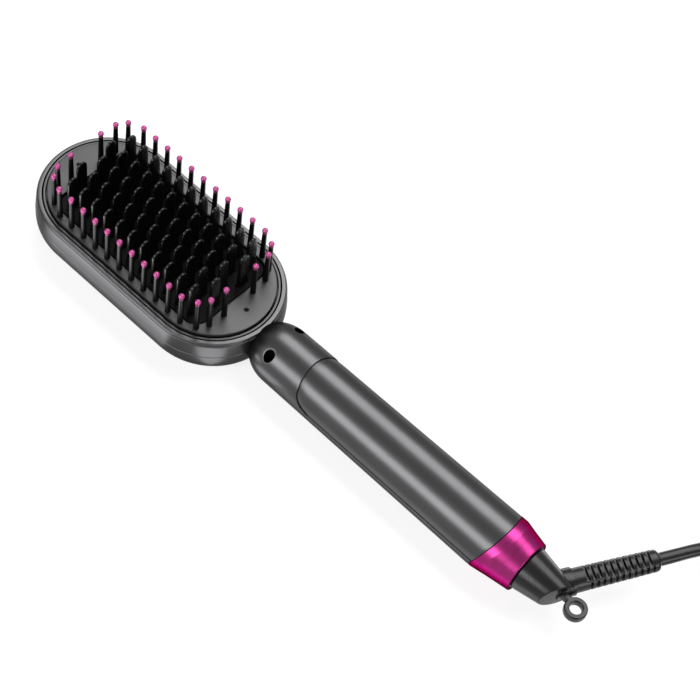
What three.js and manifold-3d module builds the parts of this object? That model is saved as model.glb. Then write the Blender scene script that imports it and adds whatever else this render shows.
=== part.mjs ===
// Heated hair straightening comb: teeth up, round handle along +X, lead at the tail.
// Millimetres. Built about the head's centre with z = 0 at the rim, then moved to its frame.
import * as THREE from 'three';
import Module from 'manifold-3d';
import { mergeVertices } from 'three/addons/utils/BufferGeometryUtils.js';

const wasm = await Module();
wasm.setup();

// Fits
const GAP = 0.3;
const RUN = 0.35;
const SEGS = 36;

// Head
const HALF = 34.85;
const SEAM_R = 31.5;
const SIDE_OUT = 3.5;
const SIDE_Z = -9.2;
const CREASE_OUT = 2.8;
const CREASE_Z = -1.4;
const BACK_Z = -25.6;
const CORNER_Z = -12.8;
const WALL = 2;
const LIP = 0.3;
const LIP_Z = -6.3;
const RIM_IN = SEAM_R - 1.5;
const RIM_Z = -7.0;
const LEDGE_Z = -3.3;
const LEDGE_IN = SEAM_R - 3.3;

// Face plate and its cut-out
const PLATE_R = RIM_IN - 0.5;
const PLATE_TOP = 1.5;
const SKIRT_IN = PLATE_R - 1.1;
const SKIRT_Z = -3.0;
const CUT = { x: HALF + PLATE_R - 16.15, y: PLATE_R - 4.8, r: 7.7 };
const SCREW_X = CUT.x + 7.9;

// Comb teeth
const PITCH = 8;
const ROW_OUT = CUT.y - 6.24;
const ROW_MID = ROW_OUT - 9.28;
const ROWS = [-ROW_OUT, -ROW_MID, 0, ROW_MID, ROW_OUT];
const TOOTH_TOP = 22.4;
const TOOTH_T = 1.9;
const TOOTH_W = 2.9;
const TOOTH_ROOT_W = 3.3;
const TOOTH_EDGE = 2;
const COMB_TOP = 0.7;
const COMB_BOTTOM = -2.2;
const COMB_FIT = 0.5;

// Guard pins
const PIN_ROW = PLATE_R - 2.94;
const PIN_ENDS = [[CUT.x - 1, PIN_ROW - 3.13], [CUT.x + 2.1, PIN_ROW - 8.32], [CUT.x + 2.8, 9.42]];
const PIN_ROOT_R = 1.3;
const PIN_NECK_R = 1.0;
const BALL_R = 1.45;
const BALL_Z = 21.72;
const CARRIER_OUT = { x: CUT.x + 4.6, y: PIN_ROW + 1.34, r: 15.5 };
const CARRIER_IN = { x: CUT.x + 0.8, y: CUT.y + 0.5, r: CUT.r + 0.5 };

// Heater stack
const HOLDER_TOP = -2.5;
const HOLDER_FLOOR = -7.3;
const HOLDER_BOTTOM = -9.3;
const HEATER = { x: CUT.x - 8.2, y: CUT.y - 6.7 };
const POST = { x: HEATER.x - 10, y: HEATER.y - 2, r: 3.2 };
const TRAY_WALL = 2;
const TONGUE = { low: -13.8, high: -12, half: 8 };

// Handle, measured from where its neck is fully round
const NECK_X = HALF + SEAM_R + 15.05;
const AXIS_Z = -9.6;
const TAPER = 0.008;
const R_REF = 15.39;
const X_REF = NECK_X + 78.6;
const COVER_INSET = 0.4;
const HANDLE_WALL = 2.4;
const COVER_WALL = 1.8;
const DOME = 18;
const COVER_X = NECK_X + 17.6;
const COVER_DIP = 2;
const COVER_CORNER = 9;
const WELL = { x: NECK_X - 1, y: 9.9, r: 2.45, floor: -9.0, boss: 4.2 };

// Keys and board, on the underside
const PANEL = { x0: NECK_X + 37.6, x1: NECK_X + 90.6, half: 38, skin: 1.6 };
const KEYS = [
  { name: 'power', x: NECK_X + 48.1, r: 4.6 },
  { name: 'plus', x: NECK_X + 62.1, r: 4.0 },
  { name: 'minus', x: NECK_X + 73.6, r: 4.0 },
];
const LENS = { x: NECK_X + 83.6, r: 2.0 };
const KEY_FACE = -24.9;
const KEY_FLANGE = 1.2;
const BOARD = { x0: NECK_X + 35.6, x1: NECK_X + 102.6, half: 10.4, z0: -15, z1: -13.4 };
const SWITCH_BOTTOM = -19.1;

// Ring and tail
const RING_X = NECK_X + 128.6;
const RING_SLANT = 0.354;
const RING_END = NECK_X + 147.9;
const RING_R = 15.72;
const RING_BORE = 11.6;
const BUSH = { x0: RING_X - 12, x1: RING_END - GAP, flange: RING_X - 6.4, bore: 6.35 };
const CONE_R = 10.95;
const CONE_X = RING_END + 0.6;
const CONE_SLOPE = 0.19;
const CONE_CUT = CONE_X + 17.9;
const CONE_CUT_SLOPE = 0.54;
const LOOP = { x: CONE_X + 27.1, out: 5.5, hole: 3.0, z0: -12, z1: -8 };
const TAB = { x0: CONE_X + 15.9, y0: -2.4, y1: 2.2 };

// Strain relief, lead and plug
const RELIEF = { x: CONE_X + 11.9, z: -10, turn: 60.61, root: 8.0, end: 52.2, r0: 5.65, r1: 5.15 };
const LIP_T = 11;
const SLOT = { first: 20.0, pitch: 2.9, count: 10, wide: 1.15, deep: 1.5 };
const CORD_R = 3.15;
const LEAD_SAG = [[0, 0], [9, 0], [17, 0], [23, -0.7], [29, -2.8], [35, -6.35], [41, -9.9], [47, -12.0]];
const LEAD_REACH = 58;
const COIL = { out: 48.1, pitch: 6.85, turns: 3.5, rise: 6.85 };
const TAIL_REACH = 34;
const PLUG = { length: 37, half: 17.65, thick: 13.7, pin: 2.0, pinLength: 19, spacing: 18.6 };

const PART_SHIFT_X = (LOOP.x + LOOP.out - HALF - SEAM_R - SIDE_OUT) / 2;

// Geometry helpers
const V = (x, y, z) => new THREE.Vector3(x, y, z);
const rad = THREE.MathUtils.degToRad;
const handleR = (x) => R_REF + TAPER * (x - X_REF);

function volumeOf(tri, xyz) {
  const at = (i) => V(xyz[3 * i], xyz[3 * i + 1], xyz[3 * i + 2]);
  let volume = 0;
  for (let i = 0; i < tri.length; i += 3) {
    volume += at(tri[i]).dot(at(tri[i + 1]).cross(at(tri[i + 2])));
  }
  return volume / 6;
}

function solid(geometry) {
  const g = geometry.index ? geometry.toNonIndexed() : geometry.clone();
  g.deleteAttribute('normal');
  g.deleteAttribute('uv');
  const m = mergeVertices(g, 1e-4);
  const tri = [];
  for (let i = 0; i < m.index.count; i += 3) {
    const [a, b, c] = [0, 1, 2].map((k) => m.index.getX(i + k));
    if (a !== b && b !== c && c !== a) tri.push(a, b, c);
  }
  if (volumeOf(tri, m.attributes.position.array) < 0) tri.reverse();
  return new wasm.Manifold(new wasm.Mesh({
    numProp: 3,
    vertProperties: Float32Array.from(m.attributes.position.array),
    triVerts: Uint32Array.from(tri),
  }));
}

function geometryOf(manifold) {
  const mesh = manifold.getMesh();
  const xyz = new Float32Array(mesh.numVert * 3);
  for (let i = 0; i < mesh.numVert; i += 1) {
    for (let k = 0; k < 3; k += 1) xyz[3 * i + k] = mesh.vertProperties[mesh.numProp * i + k];
  }
  const g = new THREE.BufferGeometry();
  g.setAttribute('position', new THREE.BufferAttribute(xyz, 3));
  g.setIndex(new THREE.BufferAttribute(Uint32Array.from(mesh.triVerts), 1));
  g.computeVertexNormals();
  return g;
}

// Skin over rings of equal count: capped at both ends, or closed on itself.
function loft(rings, closed = false) {
  const n = rings[0].length;
  const xyz = rings.flat().flatMap((p) => [p.x, p.y, p.z]);
  const tri = [];
  const bands = closed ? rings.length : rings.length - 1;
  for (let i = 0; i < bands; i += 1) {
    const a = i * n;
    const b = ((i + 1) % rings.length) * n;
    for (let k = 0; k < n; k += 1) {
      const l = (k + 1) % n;
      tri.push(a + k, a + l, b + l, a + k, b + l, b + k);
    }
  }
  if (!closed) {
    for (const end of [0, rings.length - 1]) {
      const mid = rings[end].reduce((s, p) => s.add(p), V(0, 0, 0)).divideScalar(n);
      const c = xyz.length / 3;
      xyz.push(mid.x, mid.y, mid.z);
      for (let k = 0; k < n; k += 1) {
        const l = (k + 1) % n;
        if (end === 0) tri.push(c, end * n + l, end * n + k);
        else tri.push(c, end * n + k, end * n + l);
      }
    }
  }
  const g = new THREE.BufferGeometry();
  g.setAttribute('position', new THREE.Float32BufferAttribute(xyz, 3));
  g.setIndex(tri);
  return g;
}

function stadiumRing(r, z, arc = 16) {
  const ring = [];
  for (const side of [0, 1]) {
    for (let i = 0; i <= arc; i += 1) {
      const a = -Math.PI / 2 + Math.PI * (side + i / arc);
      ring.push(V((side ? -HALF : HALF) + r * Math.cos(a), r * Math.sin(a), z));
    }
  }
  return ring;
}

function stadium(r, z0, z1) {
  return loft([stadiumRing(r, z0), stadiumRing(r, z1)]);
}

function roundedRect({ x, y, r }, cls = THREE.Shape) {
  const s = new cls();
  s.absarc(x - r, y - r, r, 0, Math.PI / 2, false);
  s.absarc(r - x, y - r, r, Math.PI / 2, Math.PI, false);
  s.absarc(r - x, r - y, r, Math.PI, Math.PI * 1.5, false);
  s.absarc(x - r, r - y, r, Math.PI * 1.5, Math.PI * 2, false);
  return s;
}

function slab(shape, z0, z1, curveSegments = 8) {
  const g = new THREE.ExtrudeGeometry(shape, { depth: z1 - z0, bevelEnabled: false, curveSegments });
  return g.translate(0, 0, z0);
}

// Turned piece along +X on the handle's axis; profile of [x, r].
function turnedX(profile, segs = SEGS, z = AXIS_Z) {
  const points = profile.map(([x, r]) => new THREE.Vector2(r, x));
  const g = new THREE.LatheGeometry(points, segs);
  return g.rotateZ(-Math.PI / 2).translate(0, 0, z);
}

// Turned piece along +Z at x, y; profile of [z, r].
function turnedZ(profile, x, y, segs = 16) {
  const points = profile.map(([z, r]) => new THREE.Vector2(r, z));
  return new THREE.LatheGeometry(points, segs).rotateX(Math.PI / 2).translate(x, y, 0);
}

const rod = (x, y, r, z0, z1, segs = 16) => (
  turnedZ([[z0, 0], [z0, r], [z1, r], [z1, 0]], x, y, segs));

function box(x0, x1, y0, y1, z0, z1) {
  const g = new THREE.BoxGeometry(x1 - x0, y1 - y0, z1 - z0);
  return g.translate((x0 + x1) / 2, (y0 + y1) / 2, (z0 + z1) / 2);
}

const tailTurn = rad(RELIEF.turn);
const u = V(Math.cos(tailTurn), Math.sin(tailTurn), 0);
const left = V(-u.y, u.x, 0);
const reliefAt = (t) => V(RELIEF.x, 0, RELIEF.z).addScaledVector(u, t);
const alongRelief = (g) => g.rotateZ(tailTurn).translate(RELIEF.x, 0, RELIEF.z);

// Materials
const material = (color, roughness, metalness) => (
  new THREE.MeshStandardMaterial({ color, roughness, metalness }));
const shellGrey = material(0x4a4a4c, 0.38, 0.55);
const plateGrey = material(0x7d7d7f, 0.32, 0.6);
const gloss = material(0x0a0a0b, 0.18, 0.0);
const pinBlack = material(0x101012, 0.3, 0.0);
const magenta = material(0xc81e8c, 0.22, 0.85);
const steel = material(0x9a9a9e, 0.3, 0.9);
const ceramic = material(0xd8d4c8, 0.6, 0.0);
const nylon = material(0x2a2a2c, 0.55, 0.0);
const boardGreen = material(0x1f5a34, 0.5, 0.0);
const cordBlack = material(0x0c0c0d, 0.35, 0.0);
const lensClear = material(0xb8c8d8, 0.2, 0.0);

const layout = new THREE.Group();
layout.position.set(-PART_SHIFT_X, 0, -BACK_Z);

function piece(name, shape, mat) {
  const geometry = shape.isBufferGeometry ? geometryOf(solid(shape)) : geometryOf(shape);
  const mesh = new THREE.Mesh(geometry, mat);
  mesh.name = name;
  layout.add(mesh);
  return mesh;
}

const join = (list) => list.slice(1).reduce((a, b) => a.add(b), list[0]);

// Head tray with neck and lower half of the handle
const corner = SIDE_OUT + SEAM_R - (CORNER_Z - BACK_Z);
function cornerRings(inset, steps) {
  const rings = [];
  const r = CORNER_Z - BACK_Z - inset;
  for (let i = 0; i <= steps; i += 1) {
    const a = (Math.PI / 2) * (i / steps);
    rings.push(stadiumRing(corner + r * Math.sin(a), CORNER_Z - r * Math.cos(a)));
  }
  return rings;
}
const headOuter = solid(loft([
  ...cornerRings(0, 5),
  stadiumRing(SEAM_R + SIDE_OUT, SIDE_Z),
  stadiumRing(SEAM_R + CREASE_OUT, CREASE_Z),
  stadiumRing(SEAM_R + LIP, 0),
]));
const headInner = solid(loft([
  ...cornerRings(WALL, 3),
  stadiumRing(SEAM_R + SIDE_OUT - WALL, LIP_Z - WALL),
  stadiumRing(SEAM_R + LIP, LIP_Z),
  stadiumRing(SEAM_R + LIP, 5),
]));
const nose = [];
for (let i = 0; i <= 6; i += 1) {
  const a = (Math.PI / 2) * (i / 6);
  nose.push([NECK_X - DOME * Math.cos(a), handleR(NECK_X) * Math.sin(a)]);
}
const pastRing = RING_END + 2.7;
const grip = solid(turnedX([...nose, [pastRing, handleR(pastRing)], [pastRing, 0]]));
const inHandle = (inset, x0, x1) => solid(turnedX([
  [x0, 0], [x0, handleR(x0) - inset], [x1, handleR(x1) - inset], [x1, 0]]));
const wireWay = solid(turnedX([
  [NECK_X - 25.4, 0], [NECK_X - 25.4, 9.5], [NECK_X - 10.4, 10.4],
  [NECK_X - 5.4, handleR(NECK_X - 5.4) - HANDLE_WALL],
  [pastRing, handleR(pastRing) - HANDLE_WALL], [pastRing, 0]]));

// Plan outline of the cover's front edge, from its dip at the middle to its rounded corners
function coverPrism(grow, zLow) {
  const points = [];
  const r = handleR(COVER_X + 6);
  const flank = r * Math.PI / 2;
  for (let i = -14; i <= 14; i += 1) {
    const s = flank * (i / 14);
    const over = Math.abs(s) - (flank - COVER_CORNER);
    let x = COVER_X + COVER_DIP * Math.min(1, (s / (flank - COVER_CORNER)) ** 2);
    if (over > 0) x += COVER_CORNER - Math.sqrt(COVER_CORNER ** 2 - Math.min(over, 8.99) ** 2);
    points.push(new THREE.Vector2(x - grow, (r + 0.02) * Math.sin(s / r)));
  }
  const edge = points[points.length - 1].x;
  const outline = [
    new THREE.Vector2(pastRing + 8, -30), new THREE.Vector2(pastRing + 8, 30),
    new THREE.Vector2(edge, 30),
    ...points.reverse(), new THREE.Vector2(edge, -30)];
  return solid(slab(new THREE.Shape(outline), zLow, 30));
}
const pastSeam = (gap) => solid(new THREE.BoxGeometry(60, 90, 90).translate(30, 0, 0)
  .rotateY(Math.atan(RING_SLANT)).translate(RING_X - gap, 0, AXIS_Z));

// Curved pocket for the control panel on the underside, and vertical holes for the keys
const underside = (x0, x1, half, skin, depth) => (
  solid(box(x0, x1, -half / 5, half / 5, -40, AXIS_Z)).intersect(inHandle(skin, x0 - 1, x1 + 1)
    .subtract(inHandle(depth, x0 - 1, x1 + 1))));
const panelPocket = underside(PANEL.x0, PANEL.x1, PANEL.half, -1, PANEL.skin);
const keyHole = ({ x, r }) => solid(rod(x, 0, r + GAP, -30, -19.5, 14));

const posts = [];
for (const x of [-POST.x, POST.x]) {
  for (const y of [-POST.y, POST.y]) {
    posts.push(solid(rod(x, y, POST.r, BACK_Z + 0.8, HOLDER_BOTTOM - GAP, 10)));
  }
}
const ribs = [BOARD.x0 - 2.6, BOARD.x1 + 2].map((x) => solid(box(x, x + 1.6, -20, 20, -40, BOARD.z0 - GAP))
  .intersect(inHandle(1, x - 1, x + 3)));
const ribStops = [BOARD.x0 - 2.6].map((x) => solid(box(x, x + 1.6, -20, 20, -40, BOARD.z0 + 1))
  .intersect(inHandle(1, x - 1, x + 3)));
const wellSides = [-WELL.y, WELL.y];
const bossRegion = inHandle(1, WELL.x - 6.4, WELL.x + 7.6);
const bosses = wellSides.map((y) => join([
  solid(rod(WELL.x, y, WELL.boss, -11.7, 10, 14)),
  solid(rod(WELL.x, y, WELL.boss, -30, -14.1, 14)),
]).intersect(bossRegion));
const wells = wellSides.map((y) => solid(turnedZ([
  [-20, 0], [-20, 1.2], [WELL.floor, 1.2], [WELL.floor, WELL.r], [10, WELL.r], [10, 0],
], WELL.x, y, 16)));

let shell = headOuter.add(grip).subtract(headInner).subtract(wireWay)
  .subtract(coverPrism(GAP, AXIS_Z - GAP / 2)).subtract(pastSeam(GAP / 2));
shell = join([shell, ...posts, ...ribs, ...ribStops, ...bosses]);
shell = [...wells, panelPocket, ...KEYS.map(keyHole), keyHole(LENS)]
  .reduce((a, b) => a.subtract(b), shell);
piece('body_shell', shell, shellGrey);

// Narrow band that frames the face plate, with the ledge that carries the plate
const rim = solid(stadium(SEAM_R - LIP, RIM_Z, 0))
  .subtract(solid(stadium(LEDGE_IN, RIM_Z - 1, 1)))
  .subtract(solid(stadium(RIM_IN, LEDGE_Z, 1)));
piece('front_rim', rim, shellGrey);

// Raised grey plate with skirt, cut-out, pin holes and screw holes
const pinSpots = [];
const pinSteps = Math.floor(PIN_ENDS[0][0] / PITCH - 0.5);
for (let k = -pinSteps; k <= pinSteps; k += 1) {
  pinSpots.push([k * PITCH, PIN_ROW], [k * PITCH, -PIN_ROW]);
}
for (const [x, y] of PIN_ENDS) pinSpots.push([x, y], [-x, y], [x, -y], [-x, -y]);
let plate = solid(loft([
  stadiumRing(PLATE_R, SKIRT_Z), stadiumRing(PLATE_R, PLATE_TOP - 0.4),
  stadiumRing(PLATE_R - 0.4, PLATE_TOP)]));
plate = plate.subtract(solid(stadium(SKIRT_IN, SKIRT_Z - 1, 0)));
plate = plate.subtract(solid(slab(roundedRect(CUT), -5, 5)));
for (const [x, y] of pinSpots) {
  plate = plate.subtract(solid(rod(x, y, PIN_ROOT_R + GAP, -1, 3, 6)));
}
for (const x of [-SCREW_X, SCREW_X]) plate = plate.subtract(solid(rod(x, 0, 1.4, -1, 3, 16)));
piece('face_plate', plate, plateGrey);

// Comb plate: base panel with five staggered rows of thin flat teeth
const base = { x: CUT.x - COMB_FIT, y: CUT.y - COMB_FIT, r: CUT.r - COMB_FIT };
let comb = solid(slab(roundedRect(base), COMB_BOTTOM, COMB_TOP));
const toothOutline = new THREE.Shape([
  [-TOOTH_ROOT_W, COMB_TOP - 0.5], [TOOTH_ROOT_W, COMB_TOP - 0.5],
  [TOOTH_W, TOOTH_TOP - 3.2], [0.78 * TOOTH_W, TOOTH_TOP - 1.05], [0.3 * TOOTH_W, TOOTH_TOP],
  [-0.3 * TOOTH_W, TOOTH_TOP], [-0.78 * TOOTH_W, TOOTH_TOP - 1.05], [-TOOTH_W, TOOTH_TOP - 3.2],
].map(([y, z]) => new THREE.Vector2(y, z)));
const toothReach = (base.x - TOOTH_EDGE - TOOTH_T / 2) / PITCH;
ROWS.forEach((y, row) => {
  const count = row % 2 ? 2 * Math.floor(toothReach + 0.5) : 2 * Math.floor(toothReach) + 1;
  for (let k = 0; k < count; k += 1) {
    const x = (k - (count - 1) / 2) * PITCH;
    const tooth = new THREE.ExtrudeGeometry(toothOutline, { depth: TOOTH_T, bevelEnabled: false });
    tooth.rotateX(Math.PI / 2).rotateZ(Math.PI / 2).translate(x - TOOTH_T / 2, y, 0);
    comb = comb.add(solid(tooth));
  }
});
piece('comb_plate', comb, gloss);

// Guard pins with ball tips on one carrier strip
const carrier = roundedRect(CARRIER_OUT);
carrier.holes.push(roundedRect(CARRIER_IN, THREE.Path));
let pins = solid(slab(carrier, COMB_BOTTOM, -GAP));
for (const [x, y] of pinSpots) {
  pins = pins.add(solid(turnedZ([
    [-1.5, 0], [-1.5, PIN_ROOT_R], [BALL_Z - 1.8, PIN_NECK_R], [BALL_Z, BALL_R],
    [BALL_Z + 0.7 * BALL_R, 0.7 * BALL_R], [BALL_Z + BALL_R, 0]], x, y, 6)));
}
piece('guard_pins', pins, pinBlack);

// Heater stack under the plate
const tray = solid(stadium(SEAM_R - LIP, HOLDER_BOTTOM, HOLDER_FLOOR));
const trayWall = solid(stadium(LEDGE_IN - GAP, HOLDER_FLOOR - 0.5, HOLDER_TOP))
  .subtract(solid(stadium(LEDGE_IN - GAP - TRAY_WALL, HOLDER_FLOOR - 1, 0)));
const tongue = join([
  solid(box(WELL.x - 20.4, WELL.x + 5.6, -TONGUE.half, TONGUE.half, TONGUE.low, TONGUE.high)),
  solid(box(WELL.x - 3.9, WELL.x + 4, -WELL.y - 1.3, WELL.y + 1.3, TONGUE.low, TONGUE.high)),
  solid(box(WELL.x - 22.4, WELL.x - 17.9, -TONGUE.half, TONGUE.half, TONGUE.low,
    HOLDER_FLOOR - 0.5)),
]);
let holder = join([tray, trayWall, tongue]);
for (const x of [-SCREW_X, SCREW_X]) {
  holder = holder.add(solid(rod(x, 0, 2.6, HOLDER_FLOOR - 0.5, -GAP)));
  holder = holder.subtract(solid(rod(x, 0, 1.0, HOLDER_FLOOR - 1, 1, 12)));
}
for (const y of wellSides) holder = holder.subtract(solid(rod(WELL.x, y, 1.2, TONGUE.low - 1, 0, 12)));
piece('heater_holder', holder, nylon);
piece('heater', box(-HEATER.x, HEATER.x, -HEATER.y, HEATER.y,
  HOLDER_FLOOR + GAP, COMB_BOTTOM - GAP), ceramic);
piece('temperature_sensor', box(-HEATER.x - 6, -HEATER.x - 1, -4, 4,
  HOLDER_FLOOR + GAP, COMB_BOTTOM - GAP), ceramic);
const fuse = new THREE.CylinderGeometry(2.25, 2.25, 12, 16);
piece('thermal_fuse', fuse.translate(HEATER.x + 3.6, 0, (HOLDER_FLOOR + COMB_BOTTOM) / 2), steel);
[['plate_screw_tip', -SCREW_X], ['plate_screw_neck', SCREW_X]].forEach(([name, x]) => {
  const end = HOLDER_FLOOR + 1.3;
  piece(name, turnedZ([[end, 0], [end, 0.7], [0.1, 0.7], [0.1, 1.1], [1.2, 1.1], [1.2, 0]],
    x, 0, 10), steel);
});
[['neck_screw_right', -WELL.y], ['neck_screw_left', WELL.y]].forEach(([name, y]) => {
  piece(name, turnedZ([[-18, 0], [-18, 0.9], [WELL.floor + GAP, 0.9], [WELL.floor + GAP, 2.1],
    [WELL.floor + 2.4, 2.1], [WELL.floor + 2.4, 0]], WELL.x, y, 12), steel);
});

// Long cover let into the handle's upper half, with a rounded front shoulder
const coverR = (x) => handleR(x) - COVER_INSET;
const frontR = coverR(COVER_X);
const cover = solid(turnedX([
  [COVER_X - 9, 11], [COVER_X - 9, frontR - 1.3], [COVER_X, frontR - 1.3],
  [COVER_X + 1.2, frontR - 0.6], [COVER_X + 2.8, frontR - 0.2], [COVER_X + 5, coverR(COVER_X + 5)],
  [pastRing, coverR(pastRing)], [pastRing, coverR(pastRing) - COVER_WALL],
  [COVER_X + 5, coverR(COVER_X + 5) - COVER_WALL], [COVER_X - 3, 11], [COVER_X - 9, 11],
])).subtract(inHandle(COVER_INSET + COVER_WALL, COVER_X - 19, pastRing + 8))
  .intersect(coverPrism(0, AXIS_Z + GAP / 2)).subtract(pastSeam(GAP / 2));
piece('handle_cover', cover, shellGrey);

// Control panel, keys, window, board and switches
let panel = underside(PANEL.x0 + GAP, PANEL.x1 - GAP, PANEL.half - 5 * GAP, 0.2, PANEL.skin - GAP);
panel = [...KEYS.map(keyHole), keyHole(LENS)].reduce((a, b) => a.subtract(b), panel);
piece('control_panel', panel, gloss);
const floorAt = (x, r) => AXIS_Z - Math.sqrt((handleR(x) - HANDLE_WALL) ** 2 - r * r);
for (const { name, x, r } of KEYS) {
  const low = floorAt(x, r + KEY_FLANGE) + GAP;
  piece(`${name}_key`, turnedZ([[KEY_FACE, 0], [KEY_FACE, r - 0.6], [KEY_FACE + 0.6, r],
    [low, r], [low, r + KEY_FLANGE], [low + 0.7, r + KEY_FLANGE], [low + 0.7, 0]], x, 0, 16), gloss);
  piece(`${name}_switch`, box(x - 3, x + 3, -3, 3, SWITCH_BOTTOM, BOARD.z0 - GAP), nylon);
}
const lensLow = floorAt(LENS.x, LENS.r + KEY_FLANGE) + GAP;
piece('indicator_window', turnedZ([[-24.6, 0], [-24.6, LENS.r], [lensLow, LENS.r],
  [lensLow, LENS.r + KEY_FLANGE], [lensLow + 0.7, LENS.r + KEY_FLANGE], [lensLow + 0.7, 0],
], LENS.x, 0, 16), lensClear);
piece('circuit_board', box(BOARD.x0, BOARD.x1 + 4, -BOARD.half, BOARD.half, BOARD.z0, BOARD.z1),
  boardGreen);
piece('mains_block', box(BOARD.x1 - 18, BOARD.x1 - 4, -6, 6, BOARD.z1 + GAP, -5), nylon);
piece('slip_ring_block', turnedX([[BUSH.x0 - 8, 0], [BUSH.x0 - 8, 8],
  [BUSH.x0 - 3.6, 8], [BUSH.x0 - 3.6, 0]], 24), nylon);

// Metallic ring on slanted planes, closed on itself
function slanted(x, slope, r) {
  const ring = [];
  for (let i = 0; i < SEGS; i += 1) {
    const a = (2 * Math.PI * i) / SEGS;
    ring.push(V(x + slope * Math.cos(a), r * Math.sin(a), AXIS_Z + r * Math.cos(a)));
  }
  return ring;
}
const ringFront = RING_X + GAP / 2;
piece('tail_ring', loft([
  slanted(ringFront, RING_SLANT * RING_R, RING_R),
  slanted(RING_X + 2.8, 7.5, RING_R + 0.03),
  slanted(RING_X + 10.3, 4.2, 14.1),
  slanted(RING_END - 0.5, 0, 12.9),
  slanted(RING_END, 0, 12.5),
  slanted(RING_END, 0, RING_BORE),
  slanted(ringFront, RING_SLANT * RING_BORE, RING_BORE),
], true), magenta);
piece('swivel_bush', turnedX([
  [BUSH.x0, BUSH.bore], [BUSH.x0, 13.0], [BUSH.flange, 13.0], [BUSH.flange, RING_BORE - GAP],
  [BUSH.x1, RING_BORE - GAP], [BUSH.x1, BUSH.bore], [BUSH.x0, BUSH.bore]]), nylon);

// Turning tail cone with its hollow shaft, socket of the strain relief and slot of the loop
const shaftR = BUSH.bore - RUN;
const coneTip = CONE_X + 28.1;
let cone = solid(turnedX([
  [CONE_X + 14.1, 0], [CONE_X + 14.1, 2.9], [BUSH.x0 - 3, 2.9], [BUSH.x0 - 3, 7.6],
  [BUSH.x0 - GAP, 7.6], [BUSH.x0 - GAP, shaftR],
  [RING_END + 0.1, shaftR], [RING_END + 0.1, CONE_R - 0.35], [CONE_X, CONE_R],
  [coneTip, CONE_R - CONE_SLOPE * (coneTip - CONE_X)], [coneTip, 0]]));
cone = cone.subtract(solid(new THREE.BoxGeometry(40, 80, 80).translate(20, 0, 0)
  .rotateZ(-Math.atan(CONE_CUT_SLOPE)).translate(CONE_CUT, 0, AXIS_Z)));
cone = cone.add(solid(alongRelief(turnedX([[5, 0], [5, 6.45], [LIP_T, 6.45], [LIP_T, 0]], 24, 0))));
cone = cone.subtract(solid(alongRelief(turnedX([
  [0, 0], [0, 2.9], [RELIEF.root - GAP, 2.9], [RELIEF.root - GAP, RELIEF.r0 + 0.25],
  [30, RELIEF.r0 + 0.25], [30, 0]], 24, 0))));
cone = cone.subtract(solid(box(TAB.x0 - GAP, coneTip + 12, TAB.y0 - GAP, TAB.y1 + GAP,
  LOOP.z0 - GAP, LOOP.z1 + GAP)));
piece('tail_cone', cone, gloss);

const loopRing = solid(turnedZ([
  [LOOP.z0, LOOP.hole], [LOOP.z0, LOOP.out - 0.9], [LOOP.z0 + 0.9, LOOP.out],
  [LOOP.z1 - 0.4, LOOP.out], [LOOP.z1, LOOP.out - 0.4], [LOOP.z1, LOOP.hole],
  [LOOP.z0, LOOP.hole]], LOOP.x, 0, 24));
const tab = solid(box(TAB.x0, LOOP.x - LOOP.hole - 0.5, TAB.y0, TAB.y1, LOOP.z0, LOOP.z1));
piece('hanging_loop', loopRing.add(tab), gloss);

// Strain relief: tapered sleeve with four staggered rows of slots
const reliefR = (t) => THREE.MathUtils.mapLinear(t, RELIEF.root, RELIEF.end, RELIEF.r0, RELIEF.r1);
let relief = solid(turnedX([
  [RELIEF.root, 0], [RELIEF.root, RELIEF.r0], [RELIEF.end - 1.6, reliefR(RELIEF.end)],
  [RELIEF.end - 0.4, RELIEF.r1 - 0.5], [RELIEF.end, RELIEF.r1 - 1.4], [RELIEF.end, 0]], 16, 0));
for (let row = 0; row < 4; row += 1) {
  for (let i = 0; i < SLOT.count; i += 1) {
    const t = SLOT.first + SLOT.pitch * (i + (row % 2) / 2);
    const low = reliefR(t) - SLOT.deep;
    const cut = box(t, t + SLOT.wide, -3.7, 3.7, low, low + 6).rotateX((row * Math.PI) / 2);
    relief = relief.subtract(solid(cut));
  }
}
piece('strain_relief', geometryOf(relief).rotateZ(tailTurn).translate(RELIEF.x, 0, RELIEF.z),
  cordBlack);

// Mains lead: straight out of the relief, down to the surface, into a flat two-layer coil
function tube(points, radius, sides, steps) {
  const path = new THREE.CatmullRomCurve3(points, false, 'centripetal');
  path.arcLengthDivisions = 40 * points.length;
  const section = [];
  for (let i = 0; i < sides; i += 1) {
    const a = (2 * Math.PI * (i + 0.5)) / sides;
    section.push(new THREE.Vector2(radius * Math.cos(a), radius * Math.sin(a)));
  }
  return new THREE.ExtrudeGeometry(new THREE.Shape(section), { steps, extrudePath: path });
}
const exit = reliefAt(RELIEF.end);
const FLOOR = BACK_Z + CORD_R + 0.05;
const leadPoint = (a, z) => V(exit.x, exit.y, z).addScaledVector(u, a);
const leadPoints = LEAD_SAG.map(([a, drop]) => leadPoint(a + GAP, exit.z + drop));
leadPoints.push(leadPoint(LEAD_REACH - 5, FLOOR), leadPoint(LEAD_REACH - GAP, FLOOR));
piece('cord_lead', tube(leadPoints, CORD_R, 10, 14), cordBlack);

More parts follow.
